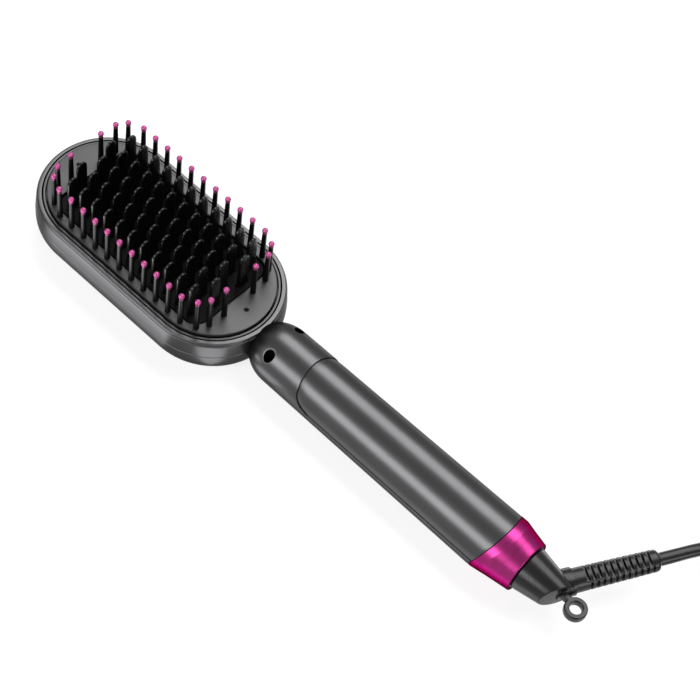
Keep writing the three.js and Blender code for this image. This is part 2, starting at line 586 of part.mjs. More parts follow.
const coilMid = leadPoint(LEAD_REACH + 2 * CORD_R, FLOOR).addScaledVector(left, -COIL.out);
const coilPoints = [];
const perTurn = 24;
const legSteps = Math.round(COIL.turns * perTurn);
const total = 2 * legSteps + perTurn / 2;
for (let i = 0; i <= total; i += 1) {
  const inward = Math.min(i, legSteps);
  const outward = Math.max(0, i - legSteps - perTurn / 2);
  const climb = THREE.MathUtils.clamp((i - legSteps) / (perTurn / 2), 0, 1);
  const swing = (COIL.pitch / (2 * Math.PI)) * Math.sin(Math.PI * climb);
  const r = COIL.out - (COIL.pitch * (inward - outward)) / perTurn - swing;
  const a = (2 * Math.PI * i) / perTurn;
  const ease = climb * climb * (3 - 2 * climb);
  const p = coilMid.clone().addScaledVector(left, r * Math.cos(a)).addScaledVector(u, r * Math.sin(a));
  coilPoints.push(p.setZ(FLOOR + COIL.rise * ease));
}
const way = u.clone().negate();
const coilEnd = coilPoints[coilPoints.length - 1];
coilPoints.unshift(coilPoints[0].clone().addScaledVector(u, -2 * CORD_R));
coilPoints.push(coilEnd.clone().addScaledVector(way, 2 * CORD_R));
piece('cord_coil', tube(coilPoints, CORD_R, 6, total + 2), cordBlack);

const plugZ = BACK_Z + PLUG.thick / 2;
const tailStart = coilPoints[coilPoints.length - 1];
const tailAt = (a, z) => V(tailStart.x, tailStart.y, z).addScaledVector(way, a);
piece('cord_tail', tube([
  tailAt(GAP, tailStart.z), tailAt(6, tailStart.z), tailAt(13, tailStart.z - 0.5),
  tailAt(21, plugZ + 0.5), tailAt(28, plugZ), tailAt(TAIL_REACH, plugZ),
], CORD_R, 10, 6), cordBlack);

// Flat two-pin plug, lying on the surface
const plugStart = tailAt(TAIL_REACH + GAP, plugZ);
const toPlug = (g) => g.rotateZ(Math.atan2(way.y, way.x)).translate(plugStart.x, plugStart.y, plugZ);
const mirrored = (points) => new THREE.Shape([
  ...points.map(([a, b]) => new THREE.Vector2(a, b)),
  ...points.toReversed().map(([a, b]) => new THREE.Vector2(a, -b))]);
const plan = mirrored([[0, 4.4], [11, 5.2], [17, 9.5], [26, 15], [PLUG.length - 6, PLUG.half],
  [PLUG.length, PLUG.half - 0.6]]);
const side = mirrored([[0, 4.4], [12, 5.2], [19, PLUG.thick / 2], [PLUG.length, PLUG.thick / 2]]);
let plug = solid(slab(plan, -PLUG.thick, PLUG.thick))
  .intersect(solid(slab(side, -30, 30).rotateX(Math.PI / 2)));
const pinSides = [['plug_pin_a', -PLUG.spacing / 2], ['plug_pin_b', PLUG.spacing / 2]];
for (const [, y] of pinSides) {
  plug = plug.subtract(solid(turnedX([[PLUG.length - 8, 0], [PLUG.length - 8, PLUG.pin + GAP],
    [PLUG.length + 5, PLUG.pin + GAP], [PLUG.length + 5, 0]], 16, 0).translate(0, y, 0)));
}
piece('plug_body', toPlug(geometryOf(plug)), cordBlack);
for (const [name, y] of pinSides) {
  const tip = PLUG.length + PLUG.pinLength;
  piece(name, toPlug(turnedX([[PLUG.length - 7.7, 0], [PLUG.length - 7.7, PLUG.pin],
    [tip - 1.4, PLUG.pin], [tip - 0.4, PLUG.pin - 0.7], [tip, PLUG.pin - 1.4], [tip, 0],
  ], 16, 0).translate(0, y, 0)), steel);
}

// Clearance of the wound lead to itself and lead length, for the record
const spine = new THREE.CatmullRomCurve3(coilPoints, false, 'centripetal').getSpacedPoints(900);
const spineStep = spine[0].distanceTo(spine[1]);
const apart = Math.ceil((6 * CORD_R) / spineStep);
let least = Infinity;
for (let i = 0; i < spine.length; i += 1) {
  for (let k = i + apart; k < spine.length; k += 1) {
    least = Math.min(least, spine[i].distanceTo(spine[k]) - 2 * CORD_R);
  }
}
const leadLength = spineStep * 900 + LEAD_REACH + TAIL_REACH + 4;
console.log(`wound lead clearance ${least.toFixed(2)} mm, lead ${leadLength.toFixed(0)} mm`);

const comb3d = new THREE.Group();
comb3d.name = 'hair_straightening_comb';
comb3d.add(layout);
export default comb3d;
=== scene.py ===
import math
from collections import namedtuple

import bmesh
import bpy
import numpy as np
from mathutils import Matrix


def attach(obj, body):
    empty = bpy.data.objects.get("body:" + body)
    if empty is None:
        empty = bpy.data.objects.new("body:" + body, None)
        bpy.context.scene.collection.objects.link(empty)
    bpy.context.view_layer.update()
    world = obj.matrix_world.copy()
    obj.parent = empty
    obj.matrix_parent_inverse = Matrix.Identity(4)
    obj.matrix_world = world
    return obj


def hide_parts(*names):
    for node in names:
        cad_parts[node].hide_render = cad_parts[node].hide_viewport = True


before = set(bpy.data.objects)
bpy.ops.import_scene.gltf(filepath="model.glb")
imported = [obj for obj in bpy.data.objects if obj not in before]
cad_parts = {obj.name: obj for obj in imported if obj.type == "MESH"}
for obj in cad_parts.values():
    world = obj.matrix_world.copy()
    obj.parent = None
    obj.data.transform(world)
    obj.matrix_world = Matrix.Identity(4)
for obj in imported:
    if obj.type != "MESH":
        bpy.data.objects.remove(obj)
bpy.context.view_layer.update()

# Sizes in millimetres, measured from the middle of the head at the rim, as the comb's own drawing has them
DATUM = np.array([96.325, 0.0, -25.6])
FORE = np.array([1.0, 0.0, 0.0])
UP = np.array([0.0, 0.0, 1.0])

# Head: half of its straight run, radius, height of its back, radius of the back's edge, wall
HALF = 34.85
HEAD_R = 35.0
BACK_Z = -25.6
BACK_EDGE = 12.8
WALL = 2.0

# Face plate: outer radius, top, and the cut-out's half length, half width and corner
PLATE_R = 29.5
PLATE_TOP = 1.5
CUT = (48.2, 24.7, 7.7)
PLATE_SCREWS = (-56.1, 56.1)

# Comb: base panel, teeth and their rows
COMB_TOP = 0.7
COMB_BACK = -2.2
PITCH = 8.0
ROWS = (-18.46, -9.18, 0.0, 9.18, 18.46)
TOOTH_TOP = 22.4
TOOTH_SHOULDER = 18.8
TOOTH_HALF = 2.92

# Guard pins: long rows, the three at each corner, shaft top, and ball
PIN_ROW = 26.56
PIN_ENDS = np.array([[47.2, 23.43], [50.3, 18.24], [51.0, 9.42]])
PIN_TOP = 20.9
BALL_Z, BALL_R = 21.72, 1.4

# Neck and handle: height of the axis, start of the full neck, length of its dome, radius and slow taper
AXIS_Z = -9.6
NECK_X = 81.4
DOME = 18.0
NECK_END = 92.4
NECK_GAP = 0.05
HANDLE_R, HANDLE_AT, HANDLE_TAPER = 15.39, 160.0, 0.008
GRIP_WALL = 2.4

# Screw wells in the neck: place, radius, rounded lip, floor, and the screw's bore
WELL = (80.4, 9.9, 2.45)
WELL_BLOCK = 5.0
WELL_LIP = 0.4
WELL_FLOOR = -9.0
BORE_R, BORE_FLOOR = 1.2, -14.0

# Cover: front edge with its dip and round corners, and how far it lies below the neck
EDGE_X, EDGE_DIP, EDGE_CORNER = 99.0, 2.0, 9.0
COVER_SINK = 0.25
COVER_WALL = 1.8

# Control panel on the underside, keys as name, place and radius, window, and the flange below a cap
PANEL = (119.0, 172.0)
PANEL_HALF, PANEL_FIT = 7.6, 0.3
KEYS = (("power", 129.5, 4.6), ("plus", 143.5, 4.0), ("minus", 155.0, 4.0))
LENS = (165.0, 2.0)
KEY_FIT = 0.3
FLANGE, FLANGE_T = 1.2, 0.7

# Grip's last upright section, slanted seam in front of the ring, and tail cone with its slanted end
EVEN_TO = 204.0
SEAM_X, SEAM_R, SEAM_SLOPE, SEAM_GAP = 210.0, 15.4, 0.354, 0.15
CONE_X, CONE_R, CONE_TAPER = 229.9, 10.95, 0.175
CONE_END, END_SLOPE = 247.8, 0.54
LOOP_AT = (256.9, 0.2, 0)

# Strain relief: origin, direction, both ends, and its slots
RELIEF_FROM = np.array([241.8, 0.0, -10.0])
TURN = math.radians(60.61)
ALONG = np.array([math.cos(TURN), math.sin(TURN), 0.0])
ACROSS = np.array([-math.sin(TURN), math.cos(TURN), 0.0])
RELIEF_START, RELIEF_END = 8.0, 52.2
SLOT_FROM, SLOT_PITCH, SLOT_WIDE, SLOT_DEEP, SLOTS = 16.2, 3.0, 1.22, 1.5, 11

# Lead, coil and plug
CORD_R = 3.15
COIL_OUT, COIL_PITCH = 48.1, 6.85
COIL_STEPS, COIL_LEGS, CLIMB = 24, 84, 12
PLUG_LENGTH, PLUG_HALF = 37.0, 6.85
PLUG_PINS = (-9.3, 9.3)


# Camera at the photograph's viewing angle
def place_camera():
    """Long lens above the tail end. Its level line is turned about the line of sight by the roll."""
    heading, roll = math.radians(33.152), math.radians(11.751)
    ahead = np.array([-0.2956, 0.4525, -0.8414])
    ahead = ahead / np.linalg.norm(ahead)
    level = np.array([math.cos(heading), math.sin(heading), 0.0])
    upright = np.cross(level, ahead)
    right = math.cos(roll) * level + math.sin(roll) * upright
    top = math.cos(roll) * upright - math.sin(roll) * level
    data = bpy.data.cameras.new("camera")
    data.lens = 97.576
    data.sensor_width = 36.0
    data.clip_start = 0.01
    camera = bpy.data.objects.new("camera", data)
    turn = Matrix((right, top, -ahead)).transposed().to_4x4()
    turn.translation = (0.262425, -0.37157, 0.75338)
    camera.matrix_world = turn
    bpy.context.scene.collection.objects.link(camera)
    bpy.context.scene.camera = camera


place_camera()

# Shape helpers. A sheet is a grid of points. wrap closes its columns, loop its rows, keep picks its cells
Sheet = namedtuple("Sheet", "grid wrap loop keep", defaults=(True, False, None))


def metres(points):
    """Drawing millimetres to the frame's metres: less the datum, over a thousand."""
    return (np.asarray(points, float) - DATUM) / 1000.0


def quads(sheet, start):
    """Four-sided faces between each point, the next one on its row, and the same two on the next row."""
    rows, cols = sheet.grid.shape[:2]
    i, j = np.meshgrid(np.arange(rows if sheet.loop else rows - 1),
                       np.arange(cols if sheet.wrap else cols - 1), indexing="ij")
    up, on = (i + 1) % rows, (j + 1) % cols
    cells = np.stack([i * cols + j, i * cols + on, up * cols + on, up * cols + j], -1)
    if sheet.keep is not None:
        cells = cells[sheet.keep]
    return cells.reshape(-1, 4) + start


def skin(name, sheets, merge=2e-6):
    """Mesh object from sheets, joined where their points meet, with its faces pointing outwards."""
    counts = [sheet.grid.shape[0] * sheet.grid.shape[1] for sheet in sheets]
    starts = np.cumsum([0] + counts[:-1])
    points = np.concatenate([sheet.grid.reshape(-1, 3) for sheet in sheets])
    faces = np.concatenate([quads(sheet, start) for sheet, start in zip(sheets, starts)])
    mesh = bpy.data.meshes.new(name)
    mesh.from_pydata(metres(points).tolist(), [], faces.tolist())
    work = bmesh.new()
    work.from_mesh(mesh)
    bmesh.ops.remove_doubles(work, verts=work.verts, dist=merge)
    bmesh.ops.dissolve_degenerate(work, edges=work.edges, dist=merge)
    bmesh.ops.recalc_face_normals(work, faces=work.faces)
    work.to_mesh(mesh)
    work.free()
    obj = bpy.data.objects.new(name, mesh)
    bpy.context.scene.collection.objects.link(obj)
    return obj


def settle(obj):
    """Applies every modifier to the mesh."""
    bpy.context.view_layer.update()
    shaped = obj.evaluated_get(bpy.context.evaluated_depsgraph_get())
    mesh = bpy.data.meshes.new_from_object(shaped)
    obj.modifiers.clear()
    obj.data = mesh


def carve(obj, tool, how="DIFFERENCE"):
    """Cuts the tool out of the piece, or joins it, and removes the tool."""
    step = obj.modifiers.new("carve", "BOOLEAN")
    step.operation = how
    step.solver = "EXACT"
    step.object = tool
    settle(obj)
    bpy.data.objects.remove(tool)


def round_edges(obj, width, angle):
    """Rounds each edge sharper than the angle, in two steps."""
    step = obj.modifiers.new("edge", "BEVEL")
    step.width = width / 1000.0
    step.segments = 2
    step.limit_method = "ANGLE"
    step.angle_limit = math.radians(angle)
    step.miter_outer = "MITER_ARC"
    settle(obj)


def finish(obj, body, material, nodes=(), angle=32):
    """Smooth shading with true edges past the angle, then the piece goes on its body."""
    mesh = obj.data
    mesh.polygons.foreach_set("use_smooth", np.ones(len(mesh.polygons), bool))
    mesh.set_sharp_from_angle(angle=math.radians(angle))
    mesh.materials.clear()
    mesh.materials.append(material)
    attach(obj, body)
    if nodes:
        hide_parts(*nodes)
    return obj


def soften(points, reach, steps=5, closed=False):
    """Profile with each corner replaced by a parabola that leaves its two sides at the given reach."""
    p = np.asarray(points, float)
    reach = np.broadcast_to(np.asarray(reach, float), (len(p),)).copy()
    if not closed:
        reach[[0, -1]] = 0.0
    shape = (len(p),) + (1,) * (p.ndim - 1)
    sides = []
    for shift in (1, -1):
        d = np.roll(p, shift, 0) - p
        length = np.maximum(np.linalg.norm(d, axis=-1, keepdims=True), 1e-9)
        sides.append(p + d * np.minimum(reach.reshape(shape) / length, 0.48))
    t = np.linspace(0, 1, steps).reshape((1, steps) + (1,) * (p.ndim - 1))
    arc = (1 - t) ** 2 * sides[0][:, None] + 2 * t * (1 - t) * p[:, None] + t ** 2 * sides[1][:, None]
    rows = arc.reshape((-1,) + p.shape[1:])
    move = np.abs(np.diff(rows, axis=0)).reshape(len(rows) - 1, -1).max(1)
    return rows[np.concatenate([[True], move > 1e-6])]


def lathe(profile, origin, axis, side, cols):
    """Profile of (distance along, radius) turned about an axis through the origin."""
    profile = np.asarray(profile, float)
    a = np.linspace(0, 2 * math.pi, cols, endpoint=False)
    other = np.cross(axis, side)
    spoke = np.cos(a)[:, None] * side + np.sin(a)[:, None] * other
    return Sheet(np.asarray(origin, float) + profile[:, 0, None, None] * axis
                 + profile[:, 1, None, None] * spoke)


def upright(profile, x, y, cols):
    """Profile of (height, radius) turned about an upright axis at x, y."""
    return lathe(profile, (x, y, 0), UP, FORE, cols)


def stadium(profile, loop=False, cols=49):
    """Profile of (offset, height) carried round two half circles and the straight sides between them."""
    profile = np.asarray(profile, float)
    a = np.linspace(-math.pi / 2, math.pi / 2, cols)
    a = np.concatenate([a, a + math.pi])
    middle = np.concatenate([np.full(cols, HALF), np.full(cols, -HALF)])
    r, z = profile[:, 0, None], profile[:, 1, None]
    return Sheet(np.stack([middle + r * np.cos(a), r * np.sin(a), z + 0 * a], -1), True, loop)


def rounded_box_reach(theta, x, y, r):
    """Distance from the middle to a rounded rectangle's outline, by halving along each ray."""
    low, high = np.zeros_like(theta), np.full_like(theta, x + y)
    for _ in range(40):
        mid = (low + high) / 2
        qx = np.abs(mid * np.cos(theta)) - (x - r)
        qy = np.abs(mid * np.sin(theta)) - (y - r)
        d = np.hypot(np.maximum(qx, 0), np.maximum(qy, 0)) + np.minimum(np.maximum(qx, qy), 0) - r
        low, high = np.where(d < 0, mid, low), np.where(d < 0, high, mid)
    return low


def outline_rows(rays, rows):
    """Rows of points on outlines: each row is half length, half width, corner radius and height."""
    theta = np.linspace(0, 2 * math.pi, rays, endpoint=False)
    grid = []
    for x, y, r, z in rows:
        d = rounded_box_reach(theta, x, y, r) if x > 0 else np.zeros_like(theta)
        grid.append(np.stack([d * np.cos(theta), d * np.sin(theta), np.full_like(theta, z)], -1))
    return np.array(grid)


def rounded_square(a, power):
    """Superellipse: cosine and sine of the angle, each raised to its power with its sign kept."""
    c, s = np.cos(a), np.sin(a)
    return np.sign(c) * np.abs(c) ** power[0], np.sign(s) * np.abs(s) ** power[1]


def handle_r(x):
    """Radius of the handle, which grows slowly and evenly towards the tail."""
    return HANDLE_R + HANDLE_TAPER * (np.asarray(x, float) - HANDLE_AT)


def neck_r(x):
    """Handle radius, closing as half an ellipse at the head."""
    back = np.clip((NECK_X - np.asarray(x, float)) / DOME, 0, 1)
    return handle_r(np.maximum(x, NECK_X)) * np.sqrt(np.maximum(1 - back ** 2, 0))


def on_handle(x, phi, r):
    """Point at angle phi from the top towards +Y, at radius r about the handle's axis."""
    x, phi, r = np.broadcast_arrays(x, phi, r)
    return np.stack([x, r * np.sin(phi), AXIS_Z + r * np.cos(phi)], -1)


def ease(t):
    """Goes from 0 to 1 with level ends: three squares less two cubes."""
    t = np.clip(t, 0, 1)
    return t * t * (3 - 2 * t)


# Lead: one tube from the strain relief to the plug
def catmull(points, per):
    """Centripetal Catmull-Rom curve through the points, with the given number of steps in each span."""
    p = np.asarray(points, float)
    p = np.concatenate([[2 * p[0] - p[1]], p, [2 * p[-1] - p[-2]]])
    gap = np.sqrt(np.linalg.norm(np.diff(p, axis=0), axis=1))[:, None, None]
    s = np.linspace(0, 1, per, endpoint=False)[None, :, None]
    p0, p1, p2, p3 = (p[k:len(p) - 3 + k][:, None] for k in range(4))
    g0, g1, g2 = gap[:-2], gap[1:-1], gap[2:]
    t1, t2, t3 = g0, g0 + g1, g0 + g1 + g2
    t = t1 + s * g1
    a1 = (t1 - t) / g0 * p0 + t / g0 * p1
    a2 = (t2 - t) / g1 * p1 + (t - t1) / g1 * p2
    a3 = (t3 - t) / g2 * p2 + (t - t2) / g2 * p3
    b1 = (t2 - t) / t2 * a1 + t / t2 * a2
    b2 = (t3 - t) / (t3 - t1) * a2 + (t - t1) / (t3 - t1) * a3
    curve = (t2 - t) / g1 * b1 + (t - t1) / g1 * b2
    return np.concatenate([curve.reshape(-1, 3), p[-2:-1]])


def lead_route():
    """Straight out of the relief, down to the surface, in and out again on a flat spiral, then to the
    plug. The spiral's radius falls by one pitch a turn, and it climbs to its upper layer in half a turn."""
    end = RELIEF_FROM + RELIEF_END * ALONG
    rest = BACK_Z + CORD_R + 0.05
    drop = rest - end[2]
    lead = np.array([[0.3, 0], [9.3, 0], [17.3, 0], [23.3, -0.7], [29.3, -2.8], [35.3, -6.35],
                     [41.3, -9.9], [47.3, -12.0], [53, drop], [57.7, drop]])
    lead = end + lead[:, :1] * ALONG + lead[:, 1:] * UP
    middle = end + (58 + 2 * CORD_R) * ALONG - COIL_OUT * ACROSS
    middle[2] = rest
    i = np.arange(2 * COIL_LEGS + CLIMB + 1)
    inward, outward = np.minimum(i, COIL_LEGS), np.maximum(0, i - COIL_LEGS - CLIMB)
    climb = np.clip((i - COIL_LEGS) / CLIMB, 0, 1)
    r = (COIL_OUT - COIL_PITCH * (inward - outward) / COIL_STEPS
         - COIL_PITCH / (2 * math.pi) * np.sin(math.pi * climb))
    a = 2 * math.pi * i / COIL_STEPS
    coil = (middle + (r * np.cos(a))[:, None] * ACROSS + (r * np.sin(a))[:, None] * ALONG
            + (COIL_PITCH * ease(climb))[:, None] * UP)
    last = coil[-1] - 2 * CORD_R * ALONG
    plug_z = BACK_Z + PLUG_HALF
    tail = np.array([[6, last[2]], [13, last[2] - 0.5], [21, plug_z + 0.5], [28, plug_z], [34.2, plug_z]])
    tail = np.array([last[0], last[1], 0]) - tail[:, :1] * ALONG + tail[:, 1:] * UP
    return np.concatenate([lead, coil, tail]), tail[-1]


def tube(path, radius, cols=20):
    """Circle carried along a path that never turns upright, closed at both ends."""
    t = np.gradient(path, axis=0)
    t /= np.linalg.norm(t, axis=1)[:, None]
    side = np.cross(t, UP)
    side /= np.linalg.norm(side, axis=1)[:, None]
    top = np.cross(side, t)
    a = np.linspace(0, 2 * math.pi, cols, endpoint=False)
    ring = np.cos(a)[None, :, None] * side[:, None] + np.sin(a)[None, :, None] * top[:, None]
    caps = [np.repeat(path[k][None, None], cols, 1) for k in (0, -1)]
    return Sheet(np.concatenate([caps[0], path[:, None] + radius * ring, caps[1]]))


# Finishes
def noise(tree, where, scale, detail):
    """Cloud noise at the given number of clouds to a metre."""
    node = tree.nodes.new("ShaderNodeTexNoise")
    node.inputs["Scale"].default_value = scale
    node.inputs["Detail"].default_value = detail
    node.inputs["Roughness"].default_value = 0.55
    tree.links.new(where, node.inputs["Vector"])
    return node.outputs["Fac"]


def spread(tree, value, low, high):
    """Stretches the middle of a noise, from 0.3 to 0.7, over the span from low to high."""
    node = tree.nodes.new("ShaderNodeMapRange")
    for key, x in (("From Min", 0.3), ("From Max", 0.7), ("To Min", low), ("To Max", high)):
        node.inputs[key].default_value = x
    tree.links.new(value, node.inputs["Value"])
    return node.outputs["Result"]


def surface(name, dark, light, rough, metallic=0.0, specular=0.5, grain=900.0, grain_depth=0.00001,
            scale=(1, 1, 1), **plain):
    """Finish with slow clouds between a dark and a light colour, uneven roughness and a fine grain."""
    material = bpy.data.materials.new(name)
    material.use_nodes = True
    tree = material.node_tree
    nodes, links = tree.nodes, tree.links
    nodes.clear()
    out = nodes.new("ShaderNodeOutputMaterial")
    shader = nodes.new("ShaderNodeBsdfPrincipled")
    links.new(shader.outputs[0], out.inputs[0])
    place = nodes.new("ShaderNodeTexCoord")
    mapping = nodes.new("ShaderNodeMapping")
    mapping.inputs["Scale"].default_value = scale
    links.new(place.outputs["Object"], mapping.inputs["Vector"])
    slow = noise(tree, mapping.outputs["Vector"], 35.0, 4.0)
    fine = noise(tree, mapping.outputs["Vector"], grain, 2.0)
    colour = nodes.new("ShaderNodeMix")
    colour.data_type = "RGBA"
    colour.inputs["A"].default_value = (*dark, 1)
    colour.inputs["B"].default_value = (*light, 1)
    links.new(spread(tree, slow, 0, 1), colour.inputs["Factor"])
    links.new(colour.outputs["Result"], shader.inputs["Base Color"])
    links.new(spread(tree, fine, *rough), shader.inputs["Roughness"])
    bump = nodes.new("ShaderNodeBump")
    bump.inputs["Distance"].default_value = grain_depth
    bump.inputs["Strength"].default_value = 0.6
    links.new(fine, bump.inputs["Height"])
    links.new(bump.outputs["Normal"], shader.inputs["Normal"])
    shader.inputs["Metallic"].default_value = metallic
    shader.inputs["Specular IOR Level"].default_value = specular
    for key, value in plain.items():
        shader.inputs[key.replace("_", " ")].default_value = value
    return material


PAINT_EDGE = (0.45, 0.45, 0.45, 1)
shell_paint = surface("grey_metallic_paint", (0.054, 0.054, 0.0555), (0.061, 0.061, 0.0625), (0.29, 0.33),
                      metallic=1.0, grain=2600, grain_depth=0.000006, Specular_Tint=PAINT_EDGE)
rim_paint = surface("rim_paint", (0.040, 0.040, 0.041), (0.046, 0.046, 0.047), (0.32, 0.37),
                    metallic=1.0, grain=2600, grain_depth=0.000006, Specular_Tint=PAINT_EDGE)
plate_paint = surface("plate_paint", (0.046, 0.046, 0.0470), (0.051, 0.051, 0.0520), (0.40, 0.45),
                      metallic=1.0, grain=2400, grain_depth=0.000004, Specular_Tint=PAINT_EDGE)
# Screws under the plate and in the neck wells: dark screws whose colour is taken near black and dull so the
# holes they sit in show dark, partly painted shade
screw_hole_shade = surface("dark_screw_painted_hole_shade", (0.0015, 0.0015, 0.0015), (0.003, 0.003, 0.003), (0.6, 0.75),
                     specular=0.08)
ceramic_black = surface("black_ceramic_coat", (0.0016, 0.0016, 0.0018), (0.0024, 0.0024, 0.0026),
                        (0.22, 0.30), specular=0.22, grain=1500, grain_depth=0.0000006)
base_black = surface("black_comb_base", (0.0016, 0.0016, 0.0018), (0.0024, 0.0024, 0.0026), (0.45, 0.55),
                     specular=0.06, grain=1500, grain_depth=0.000004)
pin_black = surface("pin_nylon", (0.0022, 0.0022, 0.0024), (0.0034, 0.0034, 0.0037), (0.28, 0.36),
                    specular=0.07, grain=1800, grain_depth=0.000005)
gloss_black = surface("gloss_black_moulding", (0.0026, 0.0026, 0.0028), (0.0038, 0.0038, 0.0040),
                      (0.25, 0.29), specular=0.24, grain=500, grain_depth=0.0000012)
cord_black = surface("cord_jacket", (0.0028, 0.0028, 0.0030), (0.0042, 0.0042, 0.0045), (0.26, 0.31),
                     specular=0.24, grain=700, grain_depth=0.000003)
tip_pink = surface("pink_tip", (0.31, 0.058, 0.176), (0.37, 0.070, 0.206), (0.32, 0.38), metallic=0.5,
                   specular=0.4, grain=1500, grain_depth=0.000002, Specular_Tint=(0.25, 0.10, 0.18, 1))
anodised = surface("anodised_magenta", (0.22, 0.018, 0.100), (0.26, 0.023, 0.122), (0.27, 0.33),
                   metallic=1.0, grain=500, grain_depth=0.000004, scale=(14, 1, 1),
                   Specular_Tint=(0.13, 0.07, 0.10, 1))
steel = surface("bright_steel", (0.42, 0.42, 0.43), (0.55, 0.55, 0.56), (0.22, 0.34), metallic=1.0,
                grain=900, grain_depth=0.000006)
nylon = surface("dark_nylon", (0.020, 0.020, 0.021), (0.030, 0.030, 0.032), (0.48, 0.6), grain=700,
                grain_depth=0.00002)
ceramic = surface("white_ceramic", (0.62, 0.60, 0.54), (0.70, 0.68, 0.62), (0.5, 0.65), grain=600,
                  grain_depth=0.00002)
heater_metal = surface("heater_foil", (0.42, 0.41, 0.38), (0.55, 0.54, 0.50), (0.35, 0.5), metallic=0.9)
board_green = surface("board_lacquer", (0.010, 0.075, 0.028), (0.016, 0.105, 0.042), (0.3, 0.42))
lens_clear = surface("clear_lens", (0.70, 0.75, 0.80), (0.75, 0.80, 0.85), (0.10, 0.16),
                     Transmission_Weight=0.6, IOR=1.49)

# The lead comes first: its solids' places are the drawing's
route, plug_from = lead_route()
centre = catmull(route, 4)
lead = skin("mains_lead", [tube(centre, CORD_R)])
finish(lead, "tail", cord_black, ("cord_lead", "cord_coil", "cord_tail"))


# Plug
def plug_shape():
    """Sections along the plug, each a superellipse whose corners grow squarer as it widens, closed at
    both ends."""
    t = np.array([0, 0, 0.6, 4, 8, 11, 14, 17, 20, 23, 26, 29, 31, 34, 36, 36.7, PLUG_LENGTH, PLUG_LENGTH])
    wide = np.array([0, 3.9, 4.4, 4.7, 4.95, 5.25, 6.9, 9.3, 11.2, 13.1, 15.0, 16.3, 17.1, 17.6, 17.65,
                     17.3, 16.9, 0])
    thick = np.array([0, 3.9, 4.4, 4.6, 4.8, 5.0, 5.4, 6.1, 6.7, 6.85, 6.85, 6.85, 6.85, 6.85, 6.8,
                      6.5, 6.1, 0])
    power = 2 / (2 + 3 * ease((t - 8) / 14)[:, None])
    c, s = rounded_square(np.linspace(0, 2 * math.pi, 72, endpoint=False), (power, power))
    u, v = c * wide[:, None], s * thick[:, None]
    return plug_from - t[:, None, None] * ALONG + u[..., None] * ACROSS + v[..., None] * UP


plug = finish(skin("plug_moulding", [Sheet(plug_shape())]), "tail", cord_black, ("plug_body",))
contact = soften([[PLUG_LENGTH - 0.4, 0], [PLUG_LENGTH - 0.4, 2.0], [56, 2.0], [56, 0]], [0, 0, 1.2, 0])
contacts = [lathe(contact, plug_from + s * ACROSS, -ALONG, UP, 32) for s in PLUG_PINS]
plug_pins = finish(skin("plug_contacts", contacts), "tail", steel, ("plug_pin_a", "plug_pin_b"))


# Strain relief
def relief_shape():
    """Tapered sleeve. Its radius falls to a flat floor, r / cos of the angle from each row's middle, in
    eleven slots on each of four rows, every second row half a pitch on."""
    t = np.concatenate([[RELIEF_START], np.arange(RELIEF_START, 15.3, 0.8), np.arange(15.5, 50.4, 0.085),
                        [50.5, 50.9, 51.3, 51.7, 52.0, 52.15, RELIEF_END, RELIEF_END]])
    r = np.interp(t, [RELIEF_START, 50.4, 50.9, 51.4, 51.8, 52.1, RELIEF_END],
                  [5.65, 5.15, 5.08, 4.92, 4.62, 4.1, 3.6])
    r[[0, -1]] = 0
    a = np.linspace(0, 2 * math.pi, 96, endpoint=False)
    row = np.round(a / (math.pi / 2)).astype(int)
    off = a - row * math.pi / 2
    phase = (t[:, None] - SLOT_FROM) / SLOT_PITCH - (row % 2) / 2
    inside = (phase > -0.2) & (phase < SLOTS - 0.2)
    place = (phase - np.floor(phase)) * SLOT_PITCH
    place = np.where(place > 0.7 * SLOT_PITCH, place - SLOT_PITCH, place)
    depth = ease((place + 0.07) / 0.14) * ease((SLOT_WIDE - place) / 0.14) * inside
    floor = (r[:, None] - SLOT_DEEP) / np.cos(off)
    in_row = np.abs(off) < math.radians(43.2)
    radius = r[:, None] - depth * np.maximum(r[:, None] - floor, 0) * in_row
    ring = np.cos(a)[:, None] * UP + np.sin(a)[:, None] * ACROSS
    return RELIEF_FROM + t[:, None, None] * ALONG + radius[..., None] * ring


relief = finish(skin("strain_relief_sleeve", [Sheet(relief_shape())], merge=5e-7), "tail",
                cord_black, ("strain_relief",))


# Head
def head_profile():
    """Flat back, a quarter-circle edge, a fine parting line, a wall that leans in a little, a fine
    crease and a nearly flat lip up to the seam, then back down inside the wall."""
    a = np.linspace(0, math.pi / 2, 25)
    inset, level = HEAD_R - BACK_EDGE, BACK_Z + BACK_EDGE
    corner = np.stack([inset + BACK_EDGE * np.sin(a), level - BACK_EDGE * np.cos(a)], -1)
    wall_side = soften([[HEAD_R, level], [HEAD_R, -9.42], [34.82, -9.24], [34.95, -9.08], [34.4, -1.95],
                        [34.22, -1.3], [33.95, -1.38], [33.82, -0.8], [33.55, -0.12], [31.8, -0.03],
                        [31.8, -6.3], [33, -8.3]],
                       [0, 0.12, 0.06, 0.12, 0.5, 0.25, 0.1, 0.15, 0.25, 0.08, 0.2, 0])
    inner_r = BACK_EDGE - WALL
    inner = np.stack([inset + inner_r * np.sin(a[::-1]), level - inner_r * np.cos(a[::-1])], -1)
    return np.concatenate([[[0, BACK_Z]], corner, wall_side[1:], inner, [[0, BACK_Z + WALL]]])


head = skin("head_tray", [stadium(head_profile())], merge=4e-6)
rim_profile = soften([[31.2, -7], [31.2, 0], [30.0, 0], [30.0, -3.3], [28.2, -3.3], [28.2, -7]],
                     [0.1, 0.25, 0.25, 0.05, 0.1, 0.1], closed=True)
rim = skin("rim_band", [stadium(rim_profile, loop=True)])
finish(rim, "handle", rim_paint, ("front_rim",))


